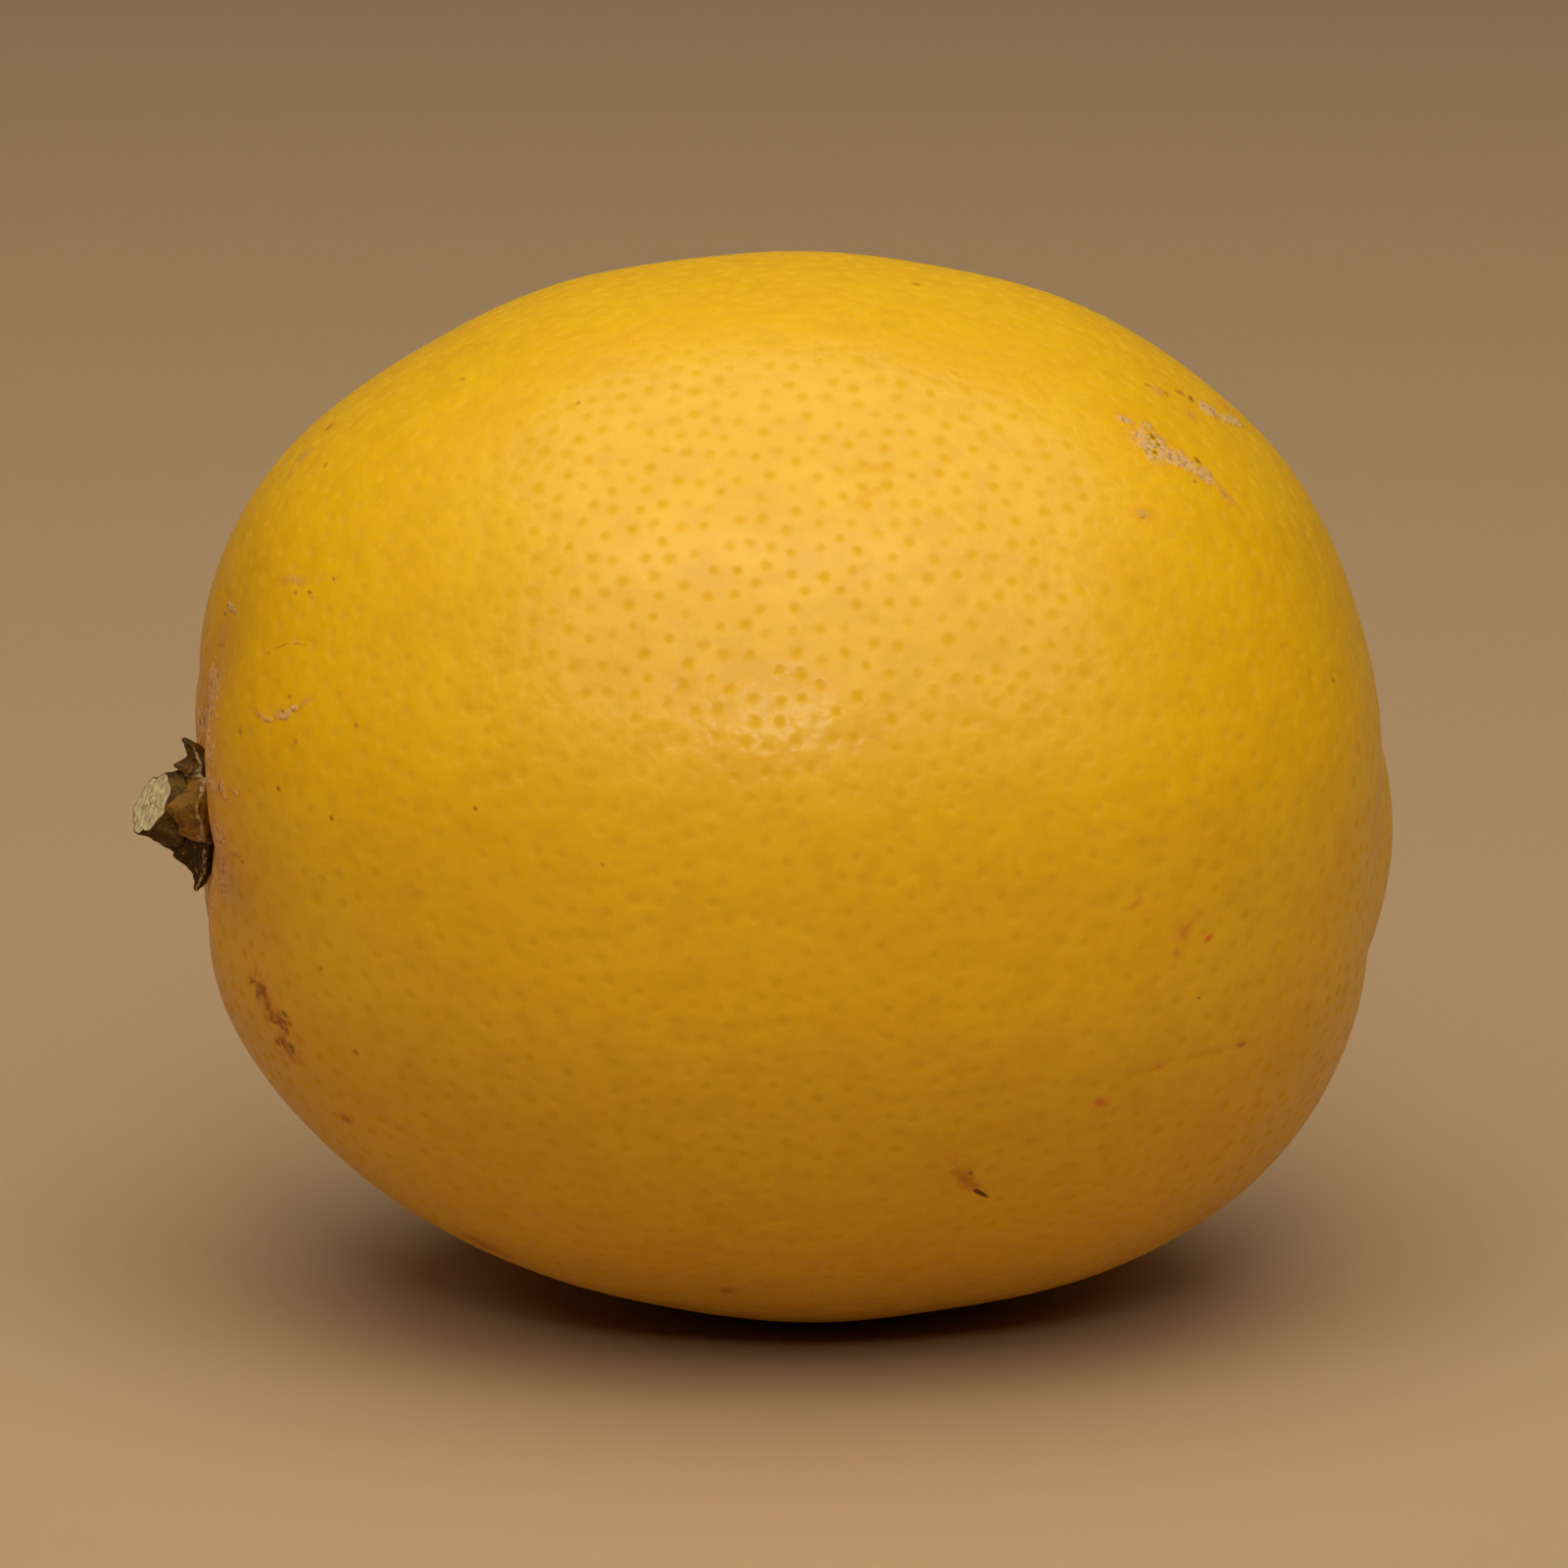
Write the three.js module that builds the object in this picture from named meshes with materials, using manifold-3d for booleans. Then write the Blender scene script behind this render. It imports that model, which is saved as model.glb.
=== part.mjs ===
// A whole ripe lemon, picked with a short stub of its stem, lying on its side.
// Millimetres, +Z up. The long axis runs along X, with the stem end at -X and the blossom end at +X.
// The origin is the middle of the small flat spot that the fruit rests on.
//
// The skin is one formula: how far it lies from the middle of the fruit in each direction. A rounded,
// slightly squared egg is the base, and bells in angle add the nipple, the hollow round the stem and
// the swellings that a real fruit grows with.

import * as THREE from "three";
import { mergeVertices } from "three/addons/utils/BufferGeometryUtils.js";
import Module from "manifold-3d";

const wasm = await Module();
wasm.setup();

const DEGREE = Math.PI / 180;

// Whole fruit
const GIRTH_RADIUS = 31.0; // half the thickness across the long axis
const STEM_REACH = 36.0; // middle to the stem end, before the hollow is sunk
const TIP_REACH = 34.0; // middle to the blossom end, before the nipple is raised
const STEM_SQUARENESS = 2.04; // 2 is an ellipse, more is boxier
const TIP_SQUARENESS = 2.38;
const AXIS_DROP = 1.1 * DEGREE; // the blossom end lies a little lower than the stem end
const FLAT_DEPTH = 0.25; // how much the resting spot is pressed flat

// Blossom end: a low broad nipple in a shallow groove, with the scar of the style on top
const NIPPLE = { rise: 1.25, spread: 9.2 * DEGREE };
const NIPPLE_GROOVE = { rise: -0.3, at: 13.5 * DEGREE, spread: 3.4 * DEGREE };
const STYLE_SCAR = { rise: -0.45, spread: 1.3 * DEGREE };
const TIP_UP = -5.3 * DEGREE;

// Stem end: a shallow hollow with furrows running out of it, and the seat of the calyx
const HOLLOW = { rise: -2.45, spread: 13.5 * DEGREE };
const SEAT = { rise: -0.3, spread: 7 * DEGREE };
const FURROW = { count: 5, rise: -0.55, at: 17 * DEGREE, spread: 9 * DEGREE, turn: 1.35 };
const HOLLOW_UP = 180.3 * DEGREE;
const STEM_UP = 182.2 * DEGREE;

// Broad swellings and flats: up is the angle above +X, side the lean towards -Y
const SWELLINGS = [
  { up: -34, side: 10, rise: 1.15, spread: 16 },
  { up: 48, side: 0, rise: -0.6, spread: 32 },
  { up: 146, side: 0, rise: 0.8, spread: 28 },
  { up: 243, side: 8, rise: -0.6, spread: 15 },
  { up: 100, side: -62, rise: 0.55, spread: 26 },
  { up: -20, side: -50, rise: -0.5, spread: 24 },
];
const LUMP = { rise: 0.09, wave: 15 };

// Calyx: the dry button rises in a cone to the stem, and its five sepals differ in length and in how
// far they curl off the skin. Each one's lower edge laps over the next
const BUTTON_RADIUS = 3.2;
const BUTTON_HEIGHT = 2.3;
const CONE_RADIUS = 2.9;
const SEPAL_THICKNESS = 0.8;
const SEPAL_LAP = 0.35;
const SEPALS = [
  { length: 1.3, curl: 0.9 },
  { length: 1.5, curl: 1.5 },
  { length: 0.9, curl: 0.5 },
  { length: 1.4, curl: 0.6 },
  { length: 1.6, curl: 0.8 },
];
const SEPAL_TURN = 0.3;
const SKIN_GAP = 0.3;

// Stem stub: leans up and a little to the front, and its end is cut at a slant
const STEM_LEAN_UP = 11 * DEGREE;
const STEM_LEAN_FRONT = 6 * DEGREE;
const STUB_BASE_RADIUS = 2.3;
const STUB_CUT_RADIUS = 1.8;
const STUB_START = BUTTON_HEIGHT + SKIN_GAP;
const STUB_END = 3.8; // along the stem's own axis, at the middle of the cut
const CUT_SLANT = { up: 0.3, front: 0.25 }; // how much nearer the skin the cut is, per millimetre that way
const BARK_RIDGE = { count: 7, rise: 0.1 };

// Fineness of the faceted solids
const FRUIT_FACES = { around: 64, along: 46 };
const CALYX_FACES = { around: 60, along: 14 };
const STUB_FACES = { around: 28, along: 12 };
const POLE_CROWDING = 0.45; // 0 spaces the rings evenly, towards 1 crowds them at the two ends

// A direction from the middle of the fruit, up from +X in the upright plane and leaning towards -Y
function direction(up, side = 0) {
  return new THREE.Vector3(Math.cos(side) * Math.cos(up), -Math.sin(side), Math.cos(side) * Math.sin(up));
}

const TIP_DIRECTION = direction(TIP_UP);
const HOLLOW_DIRECTION = direction(HOLLOW_UP);
const STEM_DIRECTION = direction(STEM_UP);
const SWELLING_DIRECTIONS = SWELLINGS.map((s) => direction(s.up * DEGREE, s.side * DEGREE));

// 1 at angle at, falling smoothly to nothing over a few spreads
function bell(angle, { at = 0, spread }) {
  return Math.exp(-(((angle - at) / spread) ** 2));
}

// The distance from the middle of a squared egg to its skin
function eggReach(d) {
  const end = d.x > 0 ? TIP_REACH : STEM_REACH;
  const power = d.x > 0 ? TIP_SQUARENESS : STEM_SQUARENESS;
  const along = (Math.abs(d.x) / end) ** power;
  const across = (Math.hypot(d.y, d.z) / GIRTH_RADIUS) ** power;
  return (along + across) ** (-1 / power);
}

// Furrows run out from the stem like the folds of a tied bag
function furrows(d, fromHollow) {
  const round = Math.atan2(d.z - HOLLOW_DIRECTION.z, d.y - HOLLOW_DIRECTION.y);
  const fold = 0.5 + 0.5 * Math.cos(FURROW.count * round + FURROW.turn + 0.6 * Math.sin(round));
  return FURROW.rise * fold * fold * bell(fromHollow, FURROW);
}

// Shallow lumps all over, from three crossing waves
function lumps(d) {
  const turn = (2 * Math.PI * GIRTH_RADIUS) / LUMP.wave;
  const waves = Math.sin(turn * d.x + 1.0) + Math.sin(turn * d.y * 0.9 + 2.0 * d.x) + Math.sin(turn * d.z * 1.1 + d.y);
  return LUMP.rise * waves;
}

// The distance from the middle of the fruit to its skin, in the direction d
function skinReach(d) {
  const fromTip = d.angleTo(TIP_DIRECTION);
  const fromHollow = d.angleTo(HOLLOW_DIRECTION);
  let reach = eggReach(d) + lumps(d) + furrows(d, fromHollow);
  for (const feature of [NIPPLE, NIPPLE_GROOVE, STYLE_SCAR]) reach += feature.rise * bell(fromTip, feature);
  for (const feature of [HOLLOW, SEAT]) reach += feature.rise * bell(fromHollow, feature);
  SWELLINGS.forEach((s, i) => {
    reach += s.rise * bell(d.angleTo(SWELLING_DIRECTIONS[i]), { spread: s.spread * DEGREE });
  });
  return reach;
}

// The middle of the fruit stands so high that the resting spot is FLAT_DEPTH below where the skin would end
const TURN = new THREE.Matrix4().makeRotationY(AXIS_DROP);
const LOWEST = lowestSkin();
const MIDDLE = new THREE.Vector3(-LOWEST.x, 0, -LOWEST.z - FLAT_DEPTH);

function lowestSkin() {
  let lowest = new THREE.Vector3();
  for (let up = -120; up <= -60; up += 0.5) {
    const d = direction(up * DEGREE);
    const p = d.clone().multiplyScalar(skinReach(d)).applyMatrix4(TURN);
    if (p.z < lowest.z) lowest = p;
  }
  return lowest;
}

// The skin's point in the direction d, or a point so far off it
function skinPoint(d, off = 0) {
  return d
    .clone()
    .multiplyScalar(skinReach(d) + off)
    .applyMatrix4(TURN)
    .add(MIDDLE);
}

// A sphere's mesh with each vertex moved to place(turn, share): turn is the angle round its axis, and
// share goes from 0 at one pole to 1 at the other
function mouldedSphere({ around, along }, place) {
  const geometry = new THREE.SphereGeometry(1, around, along);
  const position = geometry.getAttribute("position");
  for (let row = 0; row <= along; row++) {
    for (let column = 0; column <= around; column++) {
      const i = row * (around + 1) + column;
      const turn = ((column % around) / around) * 2 * Math.PI;
      const p = place(turn, row / along);
      position.setXYZ(i, p.x, p.y, p.z);
    }
  }
  return geometry;
}

// A closed mesh as a solid that can be joined and cut
function solidOf(geometry) {
  const bare = geometry.clone();
  bare.deleteAttribute("normal");
  bare.deleteAttribute("uv");
  const merged = mergeVertices(bare, 1e-4);
  const solid = new wasm.Manifold(
    new wasm.Mesh({
      numProp: 3,
      vertProperties: new Float32Array(merged.getAttribute("position").array),
      triVerts: new Uint32Array(merged.index.array),
    }),
  );
  return solid;
}

function geometryOf(solid) {
  const mesh = solid.getMesh();
  const geometry = new THREE.BufferGeometry();
  geometry.setAttribute("position", new THREE.BufferAttribute(mesh.vertProperties, 3));
  geometry.setIndex(new THREE.BufferAttribute(mesh.triVerts, 1));
  geometry.computeVertexNormals();
  return geometry;
}

// The fruit, or the same form grown by off all over
function fruitForm(off = 0) {
  return mouldedSphere(FRUIT_FACES, (turn, share) => {
    const polar = Math.PI * share - (POLE_CROWDING / 2) * Math.sin(2 * Math.PI * share);
    const ring = Math.sin(polar);
    return skinPoint(new THREE.Vector3(Math.cos(polar), ring * Math.cos(turn), ring * Math.sin(turn)), off);
  });
}

function fruitGeometry() {
  const size = 4 * GIRTH_RADIUS;
  const ground = new THREE.BoxGeometry(size, size, size).translate(0, 0, -size / 2);
  return geometryOf(solidOf(fruitForm()).subtract(solidOf(ground)));
}

// The stem's own frame: its origin on the skin in the hollow, and its Z outwards along the stem
const STEM_FOOT = skinPoint(STEM_DIRECTION);
const STEM_AXIS = new THREE.Vector3(
  -Math.cos(STEM_LEAN_UP) * Math.cos(STEM_LEAN_FRONT),
  -Math.sin(STEM_LEAN_FRONT),
  Math.sin(STEM_LEAN_UP),
);
const FRONT = new THREE.Vector3(0, -1, 0);
const STEM_UPWARD = new THREE.Vector3().crossVectors(STEM_AXIS, FRONT).normalize();
const STEM_FRONT = new THREE.Vector3().crossVectors(STEM_UPWARD, STEM_AXIS);

// The same at the skin, where the button lies flat in the hollow and doesn't lean
const SKIN_AXIS = STEM_DIRECTION.clone().transformDirection(TURN);
const SKIN_UPWARD = new THREE.Vector3().crossVectors(SKIN_AXIS, FRONT).normalize();
const SKIN_FRONT = new THREE.Vector3().crossVectors(SKIN_UPWARD, SKIN_AXIS);

function stemPoint(turn, radius, height, leaning = 1) {
  const axis = SKIN_AXIS.clone().lerp(STEM_AXIS, leaning).normalize();
  const front = SKIN_FRONT.clone().lerp(STEM_FRONT, leaning).normalize();
  const upward = SKIN_UPWARD.clone().lerp(STEM_UPWARD, leaning).normalize();
  return STEM_FOOT.clone()
    .addScaledVector(axis, height)
    .addScaledVector(front, radius * Math.cos(turn))
    .addScaledVector(upward, radius * Math.sin(turn));
}

// Which sepal a turn round the stem falls on: how far out its pointed outline reaches there, how far it
// curls and how high it laps
function sepalAt(turn) {
  const count = SEPALS.length;
  const place = (((turn - SEPAL_TURN) / (2 * Math.PI)) * count + 2 * count) % count;
  const sepal = SEPALS[Math.round(place) % count];
  const point = 1 - Math.abs(Math.sin(Math.PI * place));
  const lap = SEPAL_LAP * (1 - ((place + 0.5) % 1));
  return { reach: BUTTON_RADIUS + sepal.length * point ** 0.8, curl: sepal.curl * point, lap };
}

// The button and its sepals: a star whose middle is thick and whose tips curl off the skin
function calyxGeometry() {
  const star = mouldedSphere(CALYX_FACES, (turn, share) => {
    const { reach, curl, lap } = sepalAt(turn);
    const out = Math.sin(Math.PI * share) ** 0.8;
    const radius = reach * out;
    const beyond = Math.max(0, radius / BUTTON_RADIUS - 0.6);
    const lift = SKIN_GAP + SEPAL_THICKNESS / 2 + curl * beyond ** 2 + lap * Math.min(1, radius / CONE_RADIUS);
    const inner = share < 0.5 ? Math.exp(-((radius / CONE_RADIUS) ** 4)) : 0;
    const cone = (BUTTON_HEIGHT - SKIN_GAP - SEPAL_THICKNESS) * inner;
    const thickness = SEPAL_THICKNESS * Math.sqrt(Math.max(0, 1 - out ** 6));
    const height = share < 0.5 ? lift + cone + thickness / 2 : lift - thickness / 2 - 0.9 * (1 - out);
    return stemPoint(turn, radius, height, inner);
  });
  return geometryOf(solidOf(star).subtract(solidOf(fruitForm(SKIN_GAP))));
}

// The stub: ridged bark tapering to the slanting cut
function stubGeometry() {
  return mouldedSphere(STUB_FACES, (turn, share) => {
    const side = THREE.MathUtils.clamp((share - 0.2) / 0.6, 0, 1);
    const out = Math.min(1, Math.sin(Math.PI * share) / Math.sin(Math.PI * 0.2));
    const ridge = 1 + BARK_RIDGE.rise * Math.cos(BARK_RIDGE.count * turn + 1.5 * Math.sin(turn));
    const taper = THREE.MathUtils.lerp(STUB_CUT_RADIUS, STUB_BASE_RADIUS, side ** 1.6);
    const radius = taper * ridge * out;
    const slant = CUT_SLANT.up * Math.sin(turn) + CUT_SLANT.front * Math.cos(turn);
    const end = STUB_END - radius * slant;
    return stemPoint(turn, radius, THREE.MathUtils.lerp(end, STUB_START, side));
  });
}

function piece(name, geometry, color, roughness) {
  const material = new THREE.MeshStandardMaterial({ color, roughness, metalness: 0 });
  const mesh = new THREE.Mesh(geometry, material);
  mesh.name = name;
  return mesh;
}

const lemon = new THREE.Group();
lemon.add(
  piece("fruit", fruitGeometry(), 0xe3a81a, 0.42),
  piece("calyx", calyxGeometry(), 0x5e4522, 0.85),
  piece("stem_stub", stubGeometry(), 0x8a7448, 0.8),
);

export default lemon;
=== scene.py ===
import math
import random
from collections import namedtuple

import bpy
import numpy as np
from bpy.props import FloatProperty, FloatVectorProperty, IntProperty, PointerProperty
from bpy.types import Operator, Panel, PropertyGroup
from mathutils import Matrix, Vector, noise
from mathutils.bvhtree import BVHTree


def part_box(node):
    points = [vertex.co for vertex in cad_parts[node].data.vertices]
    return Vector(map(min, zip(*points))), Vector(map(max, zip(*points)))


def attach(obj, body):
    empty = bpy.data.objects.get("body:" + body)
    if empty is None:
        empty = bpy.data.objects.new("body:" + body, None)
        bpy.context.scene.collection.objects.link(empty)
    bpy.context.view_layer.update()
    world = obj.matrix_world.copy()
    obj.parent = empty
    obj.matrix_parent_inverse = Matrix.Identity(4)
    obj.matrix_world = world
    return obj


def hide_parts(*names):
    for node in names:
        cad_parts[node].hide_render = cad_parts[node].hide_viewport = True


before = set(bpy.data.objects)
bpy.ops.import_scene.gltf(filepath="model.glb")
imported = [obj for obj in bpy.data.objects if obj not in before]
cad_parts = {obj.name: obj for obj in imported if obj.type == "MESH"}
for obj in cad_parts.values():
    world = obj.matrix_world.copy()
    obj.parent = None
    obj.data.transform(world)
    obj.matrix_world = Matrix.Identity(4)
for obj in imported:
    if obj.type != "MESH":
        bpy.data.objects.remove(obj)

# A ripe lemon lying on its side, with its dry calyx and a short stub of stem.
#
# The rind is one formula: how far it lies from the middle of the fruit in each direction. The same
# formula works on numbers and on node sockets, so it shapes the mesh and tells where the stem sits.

bl_info = {
    "name": "Lemon",
    "version": (1, 0, 0),
    "blender": (4, 5, 0),
    "location": "3D View > Sidebar > Lemon",
    "description": "Builds a ripe lemon with its calyx and stem stub, and a studio stage for it",
    "category": "Object",
}

MM = 0.001
DEGREE = math.pi / 180

# The forms of the rind, from the blossom end to the stem end. A bell has a rise in metres, and an
# angle and a spread in radians
Bell = namedtuple("Bell", "rise at spread")


def bell(rise_mm, spread_deg, at_deg=0.0):
    return Bell(rise_mm * MM, at_deg * DEGREE, spread_deg * DEGREE)


TIP_SQUARENESS = 2.38
STEM_SQUARENESS = 2.04
AXIS_DROP = 1.1 * DEGREE
TIP_UP = -5.3
TIP_BELLS = [bell(1.25, 9.2), bell(-0.3, 3.4, 13.5), bell(-0.45, 1.3)]
HOLLOW_UP = 180.3
HOLLOW_BELLS = [bell(-2.45, 13.5), bell(-0.3, 7.0)]
FURROW = bell(-0.55, 9.0, 17.0)
FURROW_COUNT = 5
FURROW_TURN = 1.35
FURROW_UNEVEN = 0.6
LUMP_TURN = 2 * math.pi * 31 / 15  # waves 15 mm long at 31 mm from the middle
Swelling = namedtuple("Swelling", "up side bell")
SWELLINGS = [
    Swelling(-34, 10, bell(1.15, 16)),
    Swelling(48, 0, bell(-0.6, 32)),
    Swelling(146, 0, bell(0.8, 28)),
    Swelling(243, 8, bell(-0.6, 15)),
    Swelling(100, -62, bell(0.55, 26)),
    Swelling(-20, -50, bell(-0.5, 24)),
]
STEM_UP = 182.2
FLAT_DEPTH = 0.25 * MM
SKIN_INSET = 0.06 * MM

# The stem's own lean, and the sizes of the calyx and the stub
STEM_LEAN_UP = 11 * DEGREE
STEM_LEAN_FRONT = 6 * DEGREE
Sepal = namedtuple("Sepal", "length curl fold tone")
# Each sepal's last value sets how dark it is: partly its own dry brown, partly painted shade, darkest on the
# lower front sepal that lies in shadow
SEPALS = [
    Sepal(1.3 * MM, 0.9 * MM, 1.5 * MM, 1.0),
    Sepal(1.5 * MM, 1.5 * MM, 0.9 * MM, 0.45),
    Sepal(0.9 * MM, 0.5 * MM, 0.8 * MM, 0.6),
    Sepal(1.4 * MM, 0.6 * MM, 0.6 * MM, 0.35),
    Sepal(1.6 * MM, 0.8 * MM, 0.7 * MM, 0.1),
]
SEPAL_TURN = 0.3

# The photograph's camera, in its own 1600 pixel frame
PHOTO_SIDE = 1600
PHOTO_FOCAL = 9600
PHOTO_SCALE = 17.6 / MM
CAMERA_UP = 13 * DEGREE
CAMERA_ROUND = -6 * DEGREE
BOX_MIDDLE_PIXEL = (815.4, 801.2)
SENSOR = 36.0


def length(name, description, size_mm):
    return FloatProperty(
        name=name, description=description, default=size_mm * MM, unit="LENGTH", subtype="DISTANCE"
    )


def colour(name, description, default):
    return FloatVectorProperty(
        name=name, description=description, default=default, subtype="COLOR", min=0, max=1
    )


def power(name, description, default):
    return FloatProperty(name=name, description=description, default=default, unit="POWER")


class LemonShape(PropertyGroup):
    girth_radius: length("Girth radius", "Half the thickness across the long axis", 31.0)
    stem_reach: length("Stem reach", "From the middle to the stem end, before the hollow is sunk", 36.0)
    tip_reach: length("Tip reach", "From the middle to the blossom end, before the nipple is raised", 34.0)
    lump_rise: length("Lump rise", "Height of the shallow lumps all over the rind", 0.09)
    pebble_rise: length("Pebble rise", "Height of the fine waves between the oil glands", 0.05)
    gland_depth: length("Gland depth", "How deep the pit over an oil gland is", 0.024)
    gland_spacing: length("Gland spacing", "Least distance between the middles of two oil glands", 1.16)
    gland_radius: length("Gland radius", "Radius of the pit over a middling oil gland", 0.58)
    seed: IntProperty(name="Seed", description="Changes where the oil glands fall", default=4)
    mesh_points: IntProperty(
        name="Mesh points", description="Points along each of the twelve seams of the rind's mesh",
        default=126, min=8, max=129,
    )


class LemonRind(PropertyGroup):
    ripe: colour("Ripe yellow", "Colour of most of the rind", (0.79, 0.435, 0.003))
    deep: colour("Deep yellow", "Warmer colour of the mottling", (0.76, 0.392, 0.002))
    gland: colour("Gland", "Colour over an oil gland", (0.65, 0.335, 0.001))
    cork: colour("Cork", "Colour of dry corky rind round the calyx", (0.68, 0.32, 0.10))


class LemonStem(PropertyGroup):
    button_radius: length("Button radius", "Radius of the calyx between its sepals", 3.2)
    button_height: length("Button height", "Height of the calyx at its middle", 2.3)
    cone_radius: length("Cone radius", "Radius of the raised middle of the calyx", 2.9)
    sepal_lap: length("Sepal lap", "How high each sepal's lower edge laps over the next", 0.35)
    sepal_thickness: length("Sepal thickness", "Thickness of the sepals where they leave the button", 0.8)
    stub_base_radius: length("Stub base radius", "Radius of the stem where it meets the calyx", 2.3)
    stub_cut_radius: length("Stub cut radius", "Radius of the stem at its cut end", 1.8)
    stub_end: length("Stub end", "Height of the middle of the cut over the rind", 3.8)
    sepal_colour: colour("Sepal", "Colour of the dry sepals", (0.20, 0.086, 0.006))
    bark_colour: colour("Bark", "Colour of the stem's bark", (0.125, 0.058, 0.006))
    wood_colour: colour("Cut wood", "Colour of the cut end", (0.64, 0.50, 0.26))


class LemonStage(PropertyGroup):
    floor_colour: colour("Floor", "Colour of the floor and the backdrop", (0.43, 0.28, 0.15))
    key_power: power("Key light", "Power of the broad light above the front", 5.0)
    top_power: power("Top light", "Power of the broad light overhead", 6.2)
    glint_power: power("Glint light", "Power of the small light in front", 0.5)
    fill_strength: FloatProperty(
        name="Fill", description="Strength of the light from all round", default=0.01, min=0,
    )


class Field:
    """A node's output that takes part in arithmetic, in a geometry or a shader tree."""

    def __init__(self, tree, socket):
        self.tree = tree
        self.socket = socket

    def __add__(self, other):
        return maths("ADD", self, other)

    def __sub__(self, other):
        return maths("SUBTRACT", self, other)

    def __mul__(self, other):
        return maths("MULTIPLY", self, other)

    def __truediv__(self, other):
        return maths("DIVIDE", self, other)

    def __pow__(self, other):
        return maths("POWER", self, other)

    def __rsub__(self, other):
        return maths("SUBTRACT", other, self)

    def __rtruediv__(self, other):
        return maths("DIVIDE", other, self)

    def __neg__(self):
        return maths("MULTIPLY", self, -1.0)

    __radd__ = __add__
    __rmul__ = __mul__


NUMBER_MATHS = {
    "SINE": np.sin,
    "COSINE": np.cos,
    "ARCCOSINE": lambda v: np.arccos(np.clip(v, -1, 1)),
    "ARCTAN2": np.arctan2,
    "EXPONENT": np.exp,
    "ABSOLUTE": np.abs,
    "SQRT": np.sqrt,
    "GREATER_THAN": lambda a, b: np.where(a > b, 1.0, 0.0),
}


def set_inputs(tree, node, inputs):
    """Links each field to its socket, and sets the other sockets to plain values."""
    for name, value in inputs.items():
        if isinstance(value, Field):
            tree.links.new(value.socket, node.inputs[name])
        else:
            node.inputs[name].default_value = value


def node_field(tree, kind, inputs, output=0, **settings):
    """One output of a new node. inputs goes by the names or the numbers of its sockets."""
    node = tree.nodes.new(kind)
    for name, value in settings.items():
        setattr(node, name, value)
    set_inputs(tree, node, inputs)
    return Field(tree, node.outputs[output])


def tree_of(values):
    return next((v.tree for v in values if isinstance(v, Field)), None)


def maths(operation, *values):
    """One step of arithmetic: a Math node where a value is a Field, and plain numbers otherwise."""
    tree = tree_of(values)
    if tree is None:
        return NUMBER_MATHS[operation](*values)
    return node_field(tree, "ShaderNodeMath", dict(enumerate(values)), operation=operation)


def ramp(value, low, high):
    """0 below low, 1 above high, and smooth between. low may be the larger one."""
    inputs = {"Value": value, "From Min": low, "From Max": high}
    return node_field(
        value.tree, "ShaderNodeMapRange", inputs, "Result", interpolation_type="SMOOTHSTEP"
    )


def split(vector):
    node = vector.tree.nodes.new("ShaderNodeSeparateXYZ")
    set_inputs(vector.tree, node, {0: vector})
    return [Field(vector.tree, s) for s in node.outputs]


def combine(*values):
    return node_field(tree_of(values), "ShaderNodeCombineXYZ", dict(enumerate(values)))


def vector_maths(operation, *values):
    output = "Value" if operation in ("DISTANCE", "DOT_PRODUCT") else "Vector"
    inputs = dict(enumerate(values))
    return node_field(tree_of(values), "ShaderNodeVectorMath", inputs, output, operation=operation)


def scaled(vector, amount):
    inputs = {"Vector": vector, "Scale": amount}
    return node_field(vector.tree, "ShaderNodeVectorMath", inputs, operation="SCALE")


def noise_field(place, size, detail=2.0, roughness=0.5):
    """Soft noise between 0 and 1, with blobs about size across."""
    inputs = {"Vector": place, "Scale": 1 / size, "Detail": detail, "Roughness": roughness}
    return node_field(place.tree, "ShaderNodeTexNoise", inputs)


# The least share of its usual width and strength that an oil gland has, and what chance adds
GLAND_WIDTH, GLAND_WIDTH_CHANCE = 0.75, 0.3
GLAND_STRENGTH, GLAND_STRENGTH_CHANCE = 0.55, 0.45
GLAND_FLOOR = 0.1  # the flat middle of a gland, as a share of its radius


def gland_pit(place, gland, radius):
    """Up to 1 over the oil gland at gland and 0 between glands. Each has its own size and strength."""
    draw = place.tree.nodes.new("ShaderNodeTexWhiteNoise")
    set_inputs(place.tree, draw, {"Vector": gland})
    size = Field(place.tree, draw.outputs["Value"])
    strength = split(Field(place.tree, draw.outputs["Color"]))[1]
    distance = vector_maths("DISTANCE", place, gland)
    edge = radius * (GLAND_WIDTH + GLAND_WIDTH_CHANCE * size)
    depth = GLAND_STRENGTH + GLAND_STRENGTH_CHANCE * strength
    return ramp(distance, edge, edge * GLAND_FLOOR) * depth


def direction(up, side=0.0):
    """A unit vector from the middle of the fruit, up degrees above +X and side degrees towards -Y."""
    up, side = up * DEGREE, side * DEGREE
    return (math.cos(side) * math.cos(up), -math.sin(side), math.cos(side) * math.sin(up))


def angle_to(d, way):
    return maths("ARCCOSINE", d[0] * way[0] + d[1] * way[1] + d[2] * way[2])


def rise(angle, form):
    return form.rise * maths("EXPONENT", -(((angle - form.at) / form.spread) ** 2.0))


def egg_reach(d, size):
    """From the middle of a squared egg to its skin."""
    tip = maths("GREATER_THAN", d[0], 0.0)
    end = size["stem_reach"] + (size["tip_reach"] - size["stem_reach"]) * tip
    power = STEM_SQUARENESS + (TIP_SQUARENESS - STEM_SQUARENESS) * tip
    along = (maths("ABSOLUTE", d[0]) / end) ** power
    across = (maths("SQRT", d[1] * d[1] + d[2] * d[2]) / size["girth_radius"]) ** power
    return (along + across) ** (-1.0 / power)


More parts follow.
